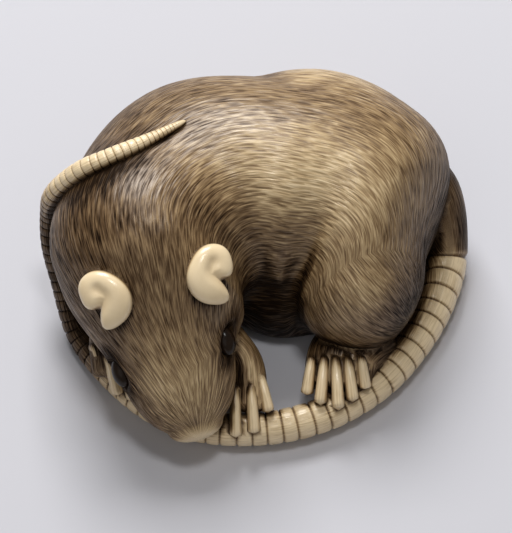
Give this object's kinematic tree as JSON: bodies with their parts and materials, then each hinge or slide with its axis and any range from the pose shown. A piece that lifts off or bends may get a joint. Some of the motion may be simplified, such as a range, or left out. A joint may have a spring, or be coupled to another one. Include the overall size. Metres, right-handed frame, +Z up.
{
  "type": "netsuke",
  "caption": "Carved ivory netsuke of a rat curled on its belly, with a ringed tail wrapped round it and an upright opening for the cord.",
  "frame": {"origin": "on the plane that the carving rests on, under the middle of its outline", "axes": "+Z up, +X towards the rump at the viewer's right, -Y towards the nose and the front stretch of the tail"},
  "size_m": [0.0452, 0.0396, 0.0245],
  "materials": {
    "stained_ivory": "polished ivory, stained brown in its engraved fur, bare and pale on ears, toes and tail",
    "dark_horn": "polished dark horn"
  },
  "bodies": {
    "root": {"rat": "stained_ivory", "left_eye": "dark_horn", "right_eye": "dark_horn"}
  },
  "joints": []
}
